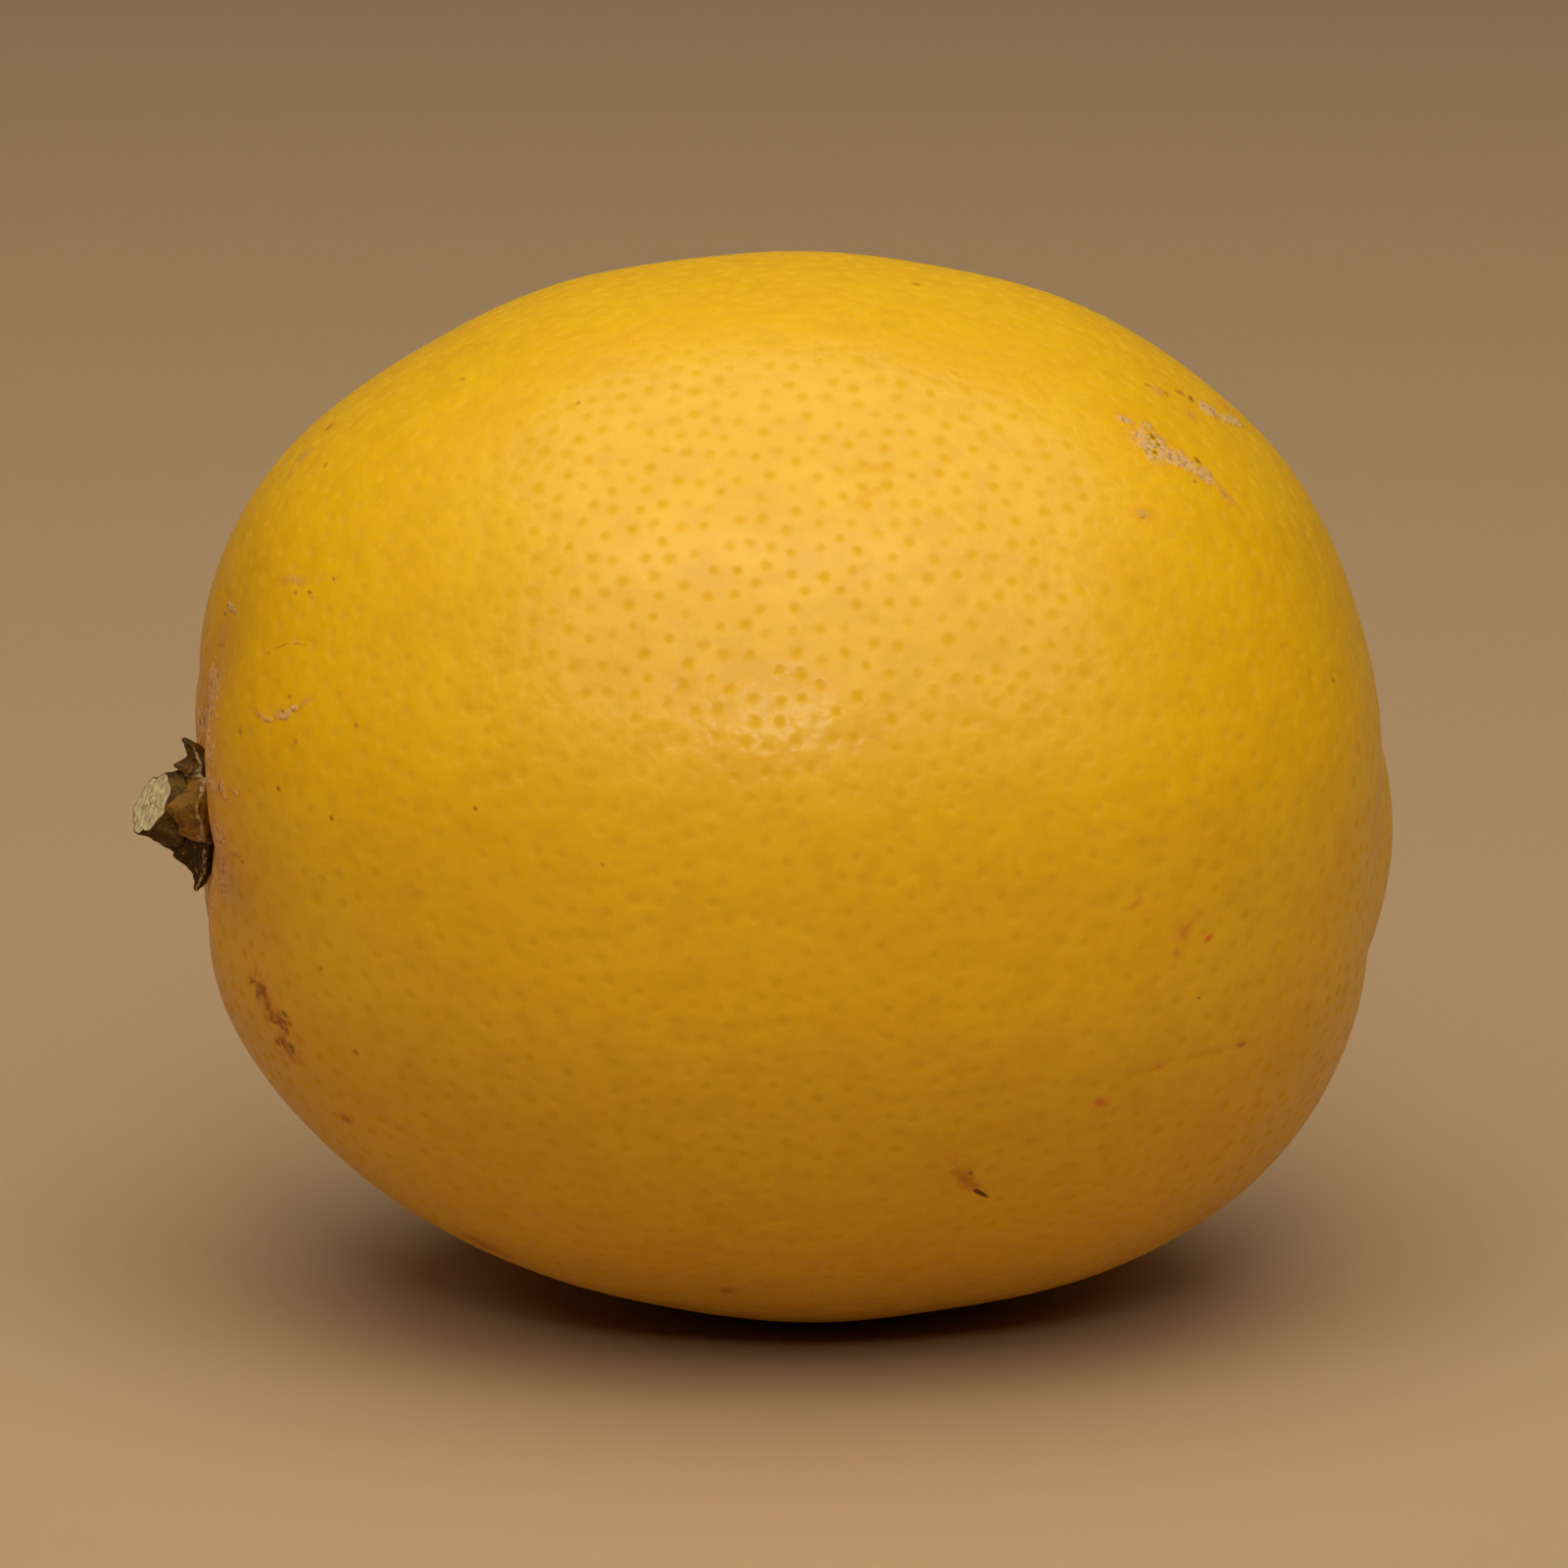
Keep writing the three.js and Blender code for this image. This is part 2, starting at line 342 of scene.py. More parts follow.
def furrows(d, from_hollow):
    hollow = direction(HOLLOW_UP)
    round_stem = maths("ARCTAN2", d[2] - hollow[2], d[1] - hollow[1])
    fold = 0.5 + 0.5 * maths(
        "COSINE",
        round_stem * float(FURROW_COUNT) + FURROW_TURN + FURROW_UNEVEN * maths("SINE", round_stem),
    )
    return fold * fold * rise(from_hollow, FURROW)


def lumps(d, size):
    waves = (
        maths("SINE", d[0] * LUMP_TURN + 1.0)
        + maths("SINE", d[1] * (LUMP_TURN * 0.9) + d[0] * 2.0)
        + maths("SINE", d[2] * (LUMP_TURN * 1.1) + d[1])
    )
    return waves * size["lump_rise"]


def skin_reach(d, size):
    """From the middle of the fruit to its skin in the direction d, for numbers or for fields."""
    from_tip = angle_to(d, direction(TIP_UP))
    from_hollow = angle_to(d, direction(HOLLOW_UP))
    reach = egg_reach(d, size) + lumps(d, size) + furrows(d, from_hollow)
    for form in TIP_BELLS:
        reach = reach + rise(from_tip, form)
    for form in HOLLOW_BELLS:
        reach = reach + rise(from_hollow, form)
    for swelling in SWELLINGS:
        reach = reach + rise(angle_to(d, direction(swelling.up, swelling.side)), swelling.bell)
    return reach


def turned(x, z):
    """The drop of the long axis, as a turn about Y."""
    c, s = math.cos(AXIS_DROP), math.sin(AXIS_DROP)
    return x * c + z * s, z * c - x * s


def shape_sizes(shape):
    """All settings of the rind's shape by their names, as skin_reach and the rind's rule take them."""
    return {name: getattr(shape, name) for name in LemonShape.__annotations__}


def fruit_middle(sizes):
    """The middle of the fruit, so high that the resting spot is pressed flat by FLAT_DEPTH."""
    ups = np.arange(-120, -60, 0.5) * DEGREE
    d = (np.cos(ups), np.zeros_like(ups), np.sin(ups))
    reach = skin_reach(d, sizes)
    x, z = turned(d[0] * reach, d[2] * reach)
    lowest = int(np.argmin(z))
    return Vector((-x[lowest], 0, -z[lowest] - FLAT_DEPTH))


def stem_frame(sizes):
    """The foot of the stem on the skin, and the axes of the rind there and of the leaning stem."""
    d = direction(STEM_UP)
    reach = float(skin_reach(d, sizes))
    x, z = turned(d[0] * reach, d[2] * reach)
    foot = Vector((x, d[1] * reach, z)) + fruit_middle(sizes)
    x, z = turned(d[0], d[2])
    skin_axis = Vector((x, d[1], z))
    stem_axis = Vector((
        -math.cos(STEM_LEAN_UP) * math.cos(STEM_LEAN_FRONT),
        -math.sin(STEM_LEAN_FRONT),
        math.sin(STEM_LEAN_UP),
    ))
    return foot, axes_round(skin_axis), axes_round(stem_axis)


def axes_round(axis):
    front = Vector((0, -1, 0))
    upward = axis.cross(front).normalized()
    return axis, upward.cross(axis), upward


def way_to(azimuth, elevation):
    """The direction from the fruit to something that stands round it and above it."""
    return Vector((
        math.sin(azimuth) * math.cos(elevation),
        -math.cos(azimuth) * math.cos(elevation),
        math.sin(elevation),
    ))


def photo_camera():
    """The camera's place and its right, up and back directions."""
    back = way_to(CAMERA_ROUND, CAMERA_UP)
    right = Vector((math.cos(CAMERA_ROUND), math.sin(CAMERA_ROUND), 0))
    up = back.cross(right)
    low, high = (Vector(c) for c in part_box("fruit"))
    aim = (low + high) / 2
    aim -= right * (BOX_MIDDLE_PIXEL[0] - PHOTO_SIDE / 2) / PHOTO_SCALE
    aim += up * (BOX_MIDDLE_PIXEL[1] - PHOTO_SIDE / 2) / PHOTO_SCALE
    return aim + back * (PHOTO_FOCAL / PHOTO_SCALE), right, up, back


# Marks on the rind

# How a mark looks. ragged and soft are shares of its half width
Finish = namedtuple("Finish", "colour strength ragged soft lift")
FINISHES = {
    "cork": Finish((0.64, 0.38, 0.14), 0.95, 0.7, 0.5, 0.05 * MM),
    "pale cork": Finish((0.82, 0.43, 0.16), 0.95, 1.2, 0.5, 0.06 * MM),
    "faint cork": Finish((0.56, 0.30, 0.08), 0.55, 0.8, 0.7, 0.02 * MM),
    "scab": Finish((0.36, 0.10, 0.012), 0.85, 1.2, 0.9, 0.04 * MM),
    "speck": Finish((0.17, 0.055, 0.003), 0.8, 0.2, 0.9, -0.03 * MM),
    "freckle": Finish((0.35, 0.12, 0.003), 0.7, 0.1, 0.9, -0.02 * MM),
    "red": Finish((0.64, 0.085, 0.004), 0.8, 0.3, 0.9, 0.0),
    "blush": Finish((0.66, 0.17, 0.01), 0.7, 0.5, 1.0, 0.0),
    "dusky": Finish((0.42, 0.10, 0.002), 0.7, 0.4, 1.0, -0.03 * MM),
    # A crease's darker orange is painted shade in its groove, on top of its sunk relief
    "crease": Finish((0.46, 0.16, 0.002), 0.5, 0.2, 1.0, -0.08 * MM),
    "slit": Finish((0.09, 0.022, 0.002), 0.95, 0.1, 0.5, -0.10 * MM),
    "hair": Finish((0.16, 0.08, 0.005), 0.7, 0.1, 0.8, 0.0),
    # A fold's slightly darker yellow is painted shade in its groove, on top of its sunk relief
    "fold": Finish((0.74, 0.37, 0.002), 0.75, 0.1, 1.0, -0.08 * MM),
}

# Marks that the photograph shows, in its pixels: finish, x and y of both ends, half width and, on a
# curved one, how far its middle bows to the left of the way from end to end
PHOTO_MARKS = [
    ("cork", 1141, 425, 1158, 433, 4),
    ("cork", 1162, 438, 1186, 466, 14),
    ("cork", 1184, 462, 1214, 473, 10),
    ("cork", 1212, 473, 1242, 493, 6),
    ("faint cork", 1238, 492, 1260, 516, 4),
    ("speck", 1173, 443, 1178, 448, 4),
    ("speck", 1180, 453, 1184, 455, 3),
    ("speck", 1177, 461, 1180, 462, 3),
    ("speck", 1218, 466, 1226, 474, 3),
    ("freckle", 1219, 491, 1220, 492, 3),
    ("faint cork", 1165, 524, 1167, 524, 9),
    ("freckle", 1164, 527, 1166, 528, 3),
    ("faint cork", 1172, 393, 1190, 402, 4),
    ("freckle", 1170, 393, 1173, 393, 3),
    ("freckle", 1189, 401, 1191, 402, 3),
    ("freckle", 1203, 399, 1206, 402, 4),
    ("speck", 1214, 406, 1217, 408, 4),
    ("cork", 1221, 412, 1246, 424, 6),
    ("cork", 1243, 424, 1264, 430, 5),
    ("faint cork", 1211, 421, 1216, 424, 5),
    ("blush", 1246, 410, 1254, 418, 5),
    ("faint cork", 289, 590, 307, 593, 7),
    ("freckle", 301, 604, 302, 606, 3),
    ("speck", 315, 604, 317, 605, 3),
    ("faint cork", 316, 607, 320, 610, 3),
    ("freckle", 340, 590, 341, 592, 3),
    ("cork", 235, 619, 239, 623, 4),
    ("speck", 229, 626, 230, 627, 2),
    ("faint cork", 230, 634, 226, 664, 5),
    ("speck", 225, 657, 225, 658, 2),
    ("cork", 219, 671, 220, 674, 2),
    ("hair", 279, 662, 296, 656, 1),
    ("hair", 296, 656, 314, 658, 1),
    ("freckle", 273, 666, 275, 666, 2),
    ("faint cork", 261, 727, 267, 731, 4),
    ("cork", 270, 733, 277, 735, 4),
    ("faint cork", 280, 732, 285, 726, 4),
    ("cork", 289, 730, 296, 726, 5),
    ("cork", 297, 722, 305, 724, 4),
    ("faint cork", 304, 724, 313, 714, 3),
    ("speck", 287, 725, 289, 727, 2),
    ("freckle", 245, 746, 246, 748, 3),
    ("freckle", 301, 756, 302, 758, 3),
    ("freckle", 363, 739, 364, 741, 4),
    ("freckle", 295, 710, 296, 712, 3),
    ("pale cork", 215, 696, 218, 728, 11),
    ("pale cork", 207, 712, 208, 744, 6),
    ("pale cork", 211, 736, 211, 774, 7),
    ("pale cork", 209, 772, 212, 808, 7),
    ("pale cork", 222, 844, 223, 866, 8),
    ("pale cork", 224, 860, 224, 894, 10),
    ("pale cork", 218, 886, 219, 908, 6),
    ("crease", 234, 868, 248, 879, 3),
    ("red", 234, 868, 246, 878, 2),
    ("speck", 246, 879, 248, 880, 2),
    ("speck", 283, 804, 285, 806, 3),
    ("speck", 337, 834, 339, 836, 3),
    ("speck", 484, 824, 486, 826, 3),
    ("red", 614, 881, 616, 883, 3),
    ("freckle", 337, 434, 335, 438, 4),
    ("faint cork", 304, 470, 316, 462, 4),
    ("faint cork", 296, 484, 300, 480, 3),
    ("freckle", 331, 475, 333, 474, 3),
    ("freckle", 471, 387, 473, 387, 3),
    ("freckle", 589, 411, 591, 411, 3),
    ("faint cork", 226, 664, 223, 690, 3),
    ("faint cork", 1385, 758, 1387, 764, 3),
    ("freckle", 1360, 694, 1362, 695, 3),
    ("scab", 260, 996, 268, 1018, 8),
    ("scab", 268, 1016, 280, 1042, 8),
    ("scab", 280, 1034, 294, 1050, 9),
    ("scab", 282, 1056, 300, 1076, 8),
    ("freckle", 261, 1003, 263, 1008, 4),
    ("speck", 271, 1027, 275, 1031, 4),
    ("speck", 288, 1034, 292, 1036, 4),
    ("freckle", 294, 1044, 297, 1046, 4),
    ("speck", 281, 1062, 286, 1065, 4),
    ("speck", 295, 1065, 299, 1071, 4),
    ("freckle", 327, 987, 328, 989, 3),
    ("speck", 362, 1073, 364, 1074, 3),
    ("dusky", 352, 1139, 355, 1145, 7),
    ("red", 1229, 960, 1237, 954, 4),
    ("blush", 1200, 962, 1218, 936, 9),
    ("blush", 1200, 969, 1202, 973, 6),
    ("blush", 1155, 925, 1162, 919, 6),
    ("speck", 1223, 1018, 1224, 1019, 2),
    ("fold", 1160, 1097, 1192, 1085, 9),
    ("fold", 1192, 1088, 1258, 1069, 8),
    ("blush", 1180, 1089, 1187, 1087, 6),
    ("dusky", 1262, 1067, 1270, 1065, 4),
    ("blush", 1121, 1125, 1127, 1126, 7),
    ("dusky", 976, 1192, 998, 1216, 15),
    ("slit", 989, 1211, 1008, 1222, 3),
    ("speck", 990, 1196, 991, 1199, 4),
    ("speck", 984, 1204, 988, 1207, 3),
    ("dusky", 733, 1316, 750, 1318, 5),
    ("dusky", 462, 1256, 530, 1286, 8),
    ("fold", 850, 496, 936, 492, 8, 16),
    ("fold", 864, 530, 926, 502, 8, 14),
    ("freckle", 933, 290, 937, 290, 3),
]

# Marks on the sides that the photograph doesn't show: how many of each, and the range of half lengths
# and half widths in millimetres
UNSEEN_SEED = 7
UNSEEN_MARKS = [
    ("freckle", 120, (0.10, 0.24), (0.10, 0.20)),
    ("speck", 50, (0.08, 0.20), (0.08, 0.16)),
    ("faint cork", 24, (0.4, 1.6), (0.2, 0.5)),
    ("cork", 10, (0.8, 2.2), (0.25, 0.7)),
    ("blush", 12, (0.3, 0.9), (0.25, 0.6)),
    ("dusky", 10, (0.3, 0.9), (0.2, 0.5)),
    ("crease", 6, (1.5, 3.5), (0.25, 0.4)),
    ("fold", 6, (1.5, 3.0), (0.35, 0.5)),
]

Mark = namedtuple("Mark", "middle along across normal half_length half_width bow finish")
WIDEST = 4.0  # how much wider than it looks a mark near the fruit's outline may be
MARK_MARGIN = 0.5 * MM
MARK_DEPTH = 2 * MM
UNSEEN_SLANT = 0.12  # skin counts as seen where its normal's share towards the camera is above this


def photo_marks(skin):
    """The seen marks, each cast from the camera through its pixels onto the skin."""
    place, right, up, back = photo_camera()

    def hit(pixel):
        ray = right * (pixel[0] - PHOTO_SIDE / 2) - up * (pixel[1] - PHOTO_SIDE / 2) - back * PHOTO_FOCAL
        point, normal, _, _ = skin.ray_cast(place, ray.normalized())
        return point, normal

    found = []
    for name, x0, y0, x1, y1, width, *bend in PHOTO_MARKS:
        start, end = Vector((x0, y0)), Vector((x1, y1))
        way = (end - start).normalized()
        side = Vector((way.y, -way.x)) * width
        middle, normal = hit((start + end) / 2)
        a = hit(start - way * width)[0] or hit(start)[0]
        b = hit(end + way * width)[0] or hit(end)[0]
        sides = [hit((start + end) / 2 + turn * side)[0] or middle for turn in (1, -1)]
        along = b - a
        along = (along - normal * along.dot(normal)).normalized()
        across = normal.cross(along)
        half_width = max(abs((point - middle).dot(across)) for point in sides)
        half_width = min(half_width, WIDEST * width / PHOTO_SCALE)
        bow = sum(bend) * half_width / width
        half_length = (b - a).length / 2
        found.append(Mark(middle, along, across, normal, half_length, half_width, bow, FINISHES[name]))
    return found


def unseen_marks(skin, middle):
    """Marks on the far sides, spread by a seeded draw."""
    draw = random.Random(UNSEEN_SEED)
    back = photo_camera()[3]
    found = []
    for name, count, lengths, widths in UNSEEN_MARKS:
        made = 0
        while made < count:
            way = Vector([draw.gauss(0, 1) for _ in range(3)]).normalized()
            point, normal, _, _ = skin.ray_cast(middle, way)
            angle = draw.uniform(0, math.pi)
            length = draw.uniform(*lengths) * MM
            width = draw.uniform(*widths) * MM
            if normal.dot(back) > UNSEEN_SLANT:
                continue
            along = way.orthogonal().normalized()
            along = (along - normal * along.dot(normal)).normalized()
            along = Matrix.Rotation(angle, 3, normal) @ along
            bow = draw.uniform(-0.5, 0.5) * width
            found.append(Mark(point, along, normal.cross(along), normal, length, width, bow, FINISHES[name]))
            made += 1
    return found


def write_marks(mesh, marks):
    """Stores with each face of the rind the place, the size and the finish of the nearest mark."""
    centres = np.empty(len(mesh.polygons) * 3)
    mesh.polygons.foreach_get("center", centres)
    centres = centres.reshape(-1, 3)
    nearest = np.full(len(centres), np.inf)
    chosen = np.zeros(len(centres), dtype=int)
    for i, mark in enumerate(marks):
        offset = centres - np.array(mark.middle)
        along, across, off = (offset @ np.array(axis) for axis in (mark.along, mark.across, mark.normal))
        across = across - mark.bow * (1 - (along / mark.half_length) ** 2)
        far = (
            (along / (mark.half_length + MARK_MARGIN)) ** 2
            + (across / (mark.half_width + MARK_MARGIN)) ** 2
            + (off / MARK_DEPTH) ** 2
        )
        chosen[far < nearest] = i
        nearest = np.minimum(far, nearest)
    layers = {
        "mark_middle": [m.middle for m in marks],
        "mark_along": [m.along / m.half_length for m in marks],
        "mark_across": [m.across / m.half_width for m in marks],
        "mark_form": [(m.finish.ragged, m.finish.soft, m.bow / m.half_width) for m in marks],
        "mark_colour": [m.finish.colour for m in marks],
        "mark_effect": [(m.finish.strength, m.finish.lift / MM, 0.0) for m in marks],
    }
    for name, values in layers.items():
        layer = mesh.attributes.new(name, "FLOAT_VECTOR", "FACE")
        layer.data.foreach_set("vector", np.array(values, dtype=float)[chosen].ravel())


# The fruit


DRAWS_PER_GLAND = 3.0
SOCKET_KINDS = {int: "NodeSocketInt", float: "NodeSocketFloat", tuple: "NodeSocketVector"}
PEBBLE_WAVE = 3.2 * MM
PIT_SHARE = 0.6  # how much of a gland's depth is in the mesh, with the rest in the material's relief


def fruit_tree(values, material):
    """The rind as a rule: a closed grid of points blown up to the skin's reach in each direction."""
    tree = bpy.data.node_groups.new("lemon_rind", "GeometryNodeTree")
    tree.interface.new_socket("Geometry", in_out="OUTPUT", socket_type="NodeSocketGeometry")
    for name, value in values.items():
        socket = tree.interface.new_socket(name, in_out="INPUT", socket_type=SOCKET_KINDS[type(value)])
        socket.default_value = value
    group = tree.nodes.new("NodeGroupInput")
    given = {name: Field(tree, group.outputs[name]) for name in values}

    seams = {"Vertices " + axis: given["mesh_points"] for axis in "XYZ"}
    cube = node_field(tree, "GeometryNodeMeshCube", {"Size": (2, 2, 2), **seams}, "Mesh")
    corner = [maths("TANGENT", c * (math.pi / 4)) for c in split(position_field(tree))]
    d = split(vector_maths("NORMALIZE", combine(*corner)))
    reach = skin_reach(d, given) - SKIN_INSET
    x, z = turned(d[0] * reach, d[2] * reach)
    skin = vector_maths("ADD", combine(x, d[1] * reach, z), given["middle"])
    smooth = placed(tree, cube, skin)

    glands = spread_points(tree, smooth, given["gland_spacing"], given["seed"])
    gland = nearest_point(tree, glands)
    marked = node_field(
        tree, "GeometryNodeStoreNamedAttribute", {"Geometry": smooth, "Name": "gland", "Value": gland},
        data_type="FLOAT_VECTOR", domain="FACE",
    )

    place = position_field(tree)
    pebbles = (noise_field(place, PEBBLE_WAVE, detail=1.0) - 1.0) * given["pebble_rise"]
    pits = gland_pit(place, gland, given["gland_radius"]) * given["gland_depth"] * PIT_SHARE
    normal = node_field(tree, "GeometryNodeInputNormal", {})
    grown = split(vector_maths("ADD", place, scaled(normal, pebbles - pits)))
    grown[2] = maths("MAXIMUM", grown[2], 0.0)
    finish_tree(tree, placed(tree, marked, combine(*grown)), material)
    return tree


def placed(tree, geometry, position):
    return node_field(tree, "GeometryNodeSetPosition", {"Geometry": geometry, "Position": position})


def spread_points(tree, mesh, spacing, seed):
    """Points all over a mesh, none nearer to another than spacing."""
    density = DRAWS_PER_GLAND / (spacing * spacing)
    inputs = {"Mesh": mesh, "Distance Min": spacing, "Density Max": density, "Seed": seed}
    kind = "GeometryNodeDistributePointsOnFaces"
    return node_field(tree, kind, inputs, "Points", distribute_method="POISSON")


def nearest_point(tree, points):
    """The place of the nearest of the points, wherever it is asked."""
    index = node_field(tree, "GeometryNodeSampleNearest", {"Geometry": points}, "Index", domain="POINT")
    return node_field(
        tree, "GeometryNodeSampleIndex",
        {"Geometry": points, "Value": position_field(tree), "Index": index}, "Value",
        data_type="FLOAT_VECTOR", domain="POINT",
    )


def position_field(tree):
    return node_field(tree, "GeometryNodeInputPosition", {})


def finish_tree(tree, geometry, material):
    """Ends a tree in smooth shading, real instances and a material."""
    geometry = node_field(tree, "GeometryNodeSetShadeSmooth", {"Geometry": geometry})
    geometry = node_field(tree, "GeometryNodeRealizeInstances", {"Geometry": geometry})
    geometry = node_field(tree, "GeometryNodeSetMaterial", {"Geometry": geometry, "Material": material})
    set_inputs(tree, tree.nodes.new("NodeGroupOutput"), {0: geometry})


def plain_mesh(tree, name, values, material):
    """The tree's result as a plain mesh object."""
    thing = bpy.data.objects.new(name, bpy.data.meshes.new(name))
    bpy.context.collection.objects.link(thing)
    modifier = thing.modifiers.new("Rule", "NODES")
    modifier.node_group = tree
    for item in tree.interface.items_tree:
        if item.in_out == "INPUT" and item.name in values:
            modifier[item.identifier] = values[item.name]
    depsgraph = bpy.context.evaluated_depsgraph_get()
    mesh = bpy.data.meshes.new_from_object(
        thing.evaluated_get(depsgraph), preserve_all_data_layers=True, depsgraph=depsgraph
    )
    thing.modifiers.clear()
    thing.data = mesh
    mesh.name = name
    if not mesh.materials:
        mesh.materials.append(material)
    return thing


# Materials


def new_material(name):
    material = bpy.data.materials.new(name)
    material.use_nodes = True
    tree = material.node_tree
    return material, tree, node_field(tree, "ShaderNodeTexCoord", {}, "Object")


def finish_material(tree, colour, height, **inputs):
    """Sets the colour, a relief from a height in metres, and the shader's other inputs."""
    shader = tree.nodes["Principled BSDF"]
    set_inputs(tree, shader, {"Base Color": colour})
    if height:
        relief = {"Strength": 1.0, "Distance": 1.0, "Height": height}
        normal = node_field(tree, "ShaderNodeBump", relief, "Normal")
        set_inputs(tree, shader, {"Normal": normal, "Coat Normal": normal})
    set_inputs(tree, shader, {name.replace("_", " "): value for name, value in inputs.items()})


def mix_colour(tree, amount, a, b):
    return node_field(tree, "ShaderNodeMix", {0: amount, 6: a, 7: b}, 2, data_type="RGBA")


def attribute(tree, name, output="Vector"):
    return node_field(tree, "ShaderNodeAttribute", {}, output, attribute_name=name)


def opaque(colour, shade=1.0):
    return (*(c * shade for c in colour), 1.0)


# Sizes of the rind's patterns, the reach of the corky ring and of the painted shade round the calyx,
# heights, shares of a second colour, and fixed colours
MOTTLE, FINE_MOTTLE, PATCH, PEBBLE, CRUMB = 16 * MM, 3.5 * MM, 2.2 * MM, 1.6 * MM, 0.35 * MM
MARK_WANDER, MARK_WEAR = 0.8 * MM, 0.45 * MM
RING_OUTER, RING_INNER = 6.8 * MM, 4.6 * MM
STEM_SHADE_OUTER, STEM_SHADE_INNER = 22 * MM, 7 * MM
PEBBLE_RELIEF, RING_RELIEF, CRUMB_RELIEF = 0.075 * MM, 0.05 * MM, 0.03 * MM
MOTTLE_TINT, PEBBLE_SHADE_TINT, GLAND_TINT, RING_TINT, STEM_SHADE_TINT = 0.7, 0.3, 0.5, 0.9, 0.5
WAX, WAX_ROUGHNESS = 0.17, 0.15
SMOOTH_RIND, GLAND_ROUGHNESS, CORK_ROUGHNESS = 0.42, 0.48, 0.3
STEM_SHADE_ORANGE = (0.60, 0.22, 0.001, 1)
CRACK_BROWN = (0.30, 0.13, 0.04, 1)
HALO_ORANGE = (0.72, 0.27, 0.01, 1)
CRUMB_BROWN = (0.20, 0.09, 0.025, 1)
PALE_EDGE_AND_HIGHLIGHT = (0.42, 0.29, 0.14, 1)


def rind_material(shape, rind, foot):
    material, tree, place = new_material("waxy_lemon_rind")
    mottle = noise_field(place, MOTTLE, roughness=0.6)
    fine_mottle = noise_field(place, FINE_MOTTLE)
    ripeness = ramp(mottle * 0.5 + fine_mottle, 0.55, 0.95)
    colour = mix_colour(tree, ripeness * MOTTLE_TINT, opaque(rind.ripe), opaque(rind.deep))
    crumbs = noise_field(place, CRUMB)
    uneven = shape.gland_radius * (0.75 + 0.5 * crumbs)
    gland = gland_pit(place, attribute(tree, "gland"), uneven)
    pebble = noise_field(place, PEBBLE, roughness=0.55)
    # Darker yellow in the low spots of the pebbly relief: painted shade in its dimples
    colour = mix_colour(tree, ramp(pebble, 0.54, 0.34) * PEBBLE_SHADE_TINT, colour, opaque(rind.gland))
    colour = mix_colour(tree, gland * GLAND_TINT, colour, opaque(rind.gland))

    from_foot = vector_maths("DISTANCE", place, tuple(foot))
    # Darker orange rind towards the stem end: painted shade of the hollow and the furrows round the calyx
    colour = mix_colour(tree, ramp(from_foot, STEM_SHADE_OUTER, STEM_SHADE_INNER) * STEM_SHADE_TINT, colour, STEM_SHADE_ORANGE)
    patches = noise_field(place, PATCH, roughness=0.6)
    ring = ramp(from_foot, RING_OUTER, RING_INNER) * ramp(patches, 0.50, 0.60)
    cork = mix_colour(tree, ramp(crumbs, 0.50, 0.38) * 0.7, opaque(rind.cork), CRACK_BROWN)
    colour = mix_colour(tree, ring * RING_TINT, colour, cork)

    mark, halo, lift, mark_colour = mark_fields(tree, place, crumbs)
    colour = mix_colour(tree, halo, colour, HALO_ORANGE)
    colour = mix_colour(tree, mark, colour, mark_colour)
    height = (
        gland * (-shape.gland_depth)
        + pebble * PEBBLE_RELIEF
        + ring * crumbs * RING_RELIEF
        + mark * lift
        + mark * crumbs * CRUMB_RELIEF
    )
    corky = maths("MAXIMUM", ring, mark)
    rough = SMOOTH_RIND + gland * GLAND_ROUGHNESS + (fine_mottle - 0.5) * 0.08
    finish_material(
        tree, colour, height,
        Roughness=rough + corky * CORK_ROUGHNESS,
        IOR=1.38,
        Coat_Weight=WAX * (1.0 - maths("MAXIMUM", corky, gland)),
        Coat_Roughness=WAX_ROUGHNESS,
        Subsurface_Weight=0.18,
        Subsurface_Radius=(1.0, 0.45, 0.08),
        Subsurface_Scale=1.6 * MM,
    )
    return material


def mark_fields(tree, place, crumbs):
    """How strongly the nearest mark and its halo cover the rind, the mark's lift and its colour."""
    offset = vector_maths("SUBTRACT", place, attribute(tree, "mark_middle"))
    along = vector_maths("DOT_PRODUCT", offset, attribute(tree, "mark_along"))
    ragged, soft, bow = split(attribute(tree, "mark_form"))
    across = vector_maths("DOT_PRODUCT", offset, attribute(tree, "mark_across"))
    across = across - bow * (1.0 - along * along)
    strength, lift, _ = split(attribute(tree, "mark_effect"))
    wander = (noise_field(place, MARK_WANDER, roughness=0.6) - 0.5) * ragged * 2.4
    far = maths("SQRT", along * along + across * across) + wander
    worn = ramp(noise_field(place, MARK_WEAR, detail=1.0), 0.50, 0.36) * ragged * 0.4
    cover = ramp(far, 1.0, 1.0 - soft) * (1.0 - worn)
    halo = ramp(far, 1.5, 0.9) * ragged * 0.4
    speckled = ramp(crumbs, 0.48, 0.34) * ragged * 0.85
    colour = mix_colour(tree, speckled, attribute(tree, "mark_colour"), CRUMB_BROWN)
    return cover * strength, halo, lift * MM, colour


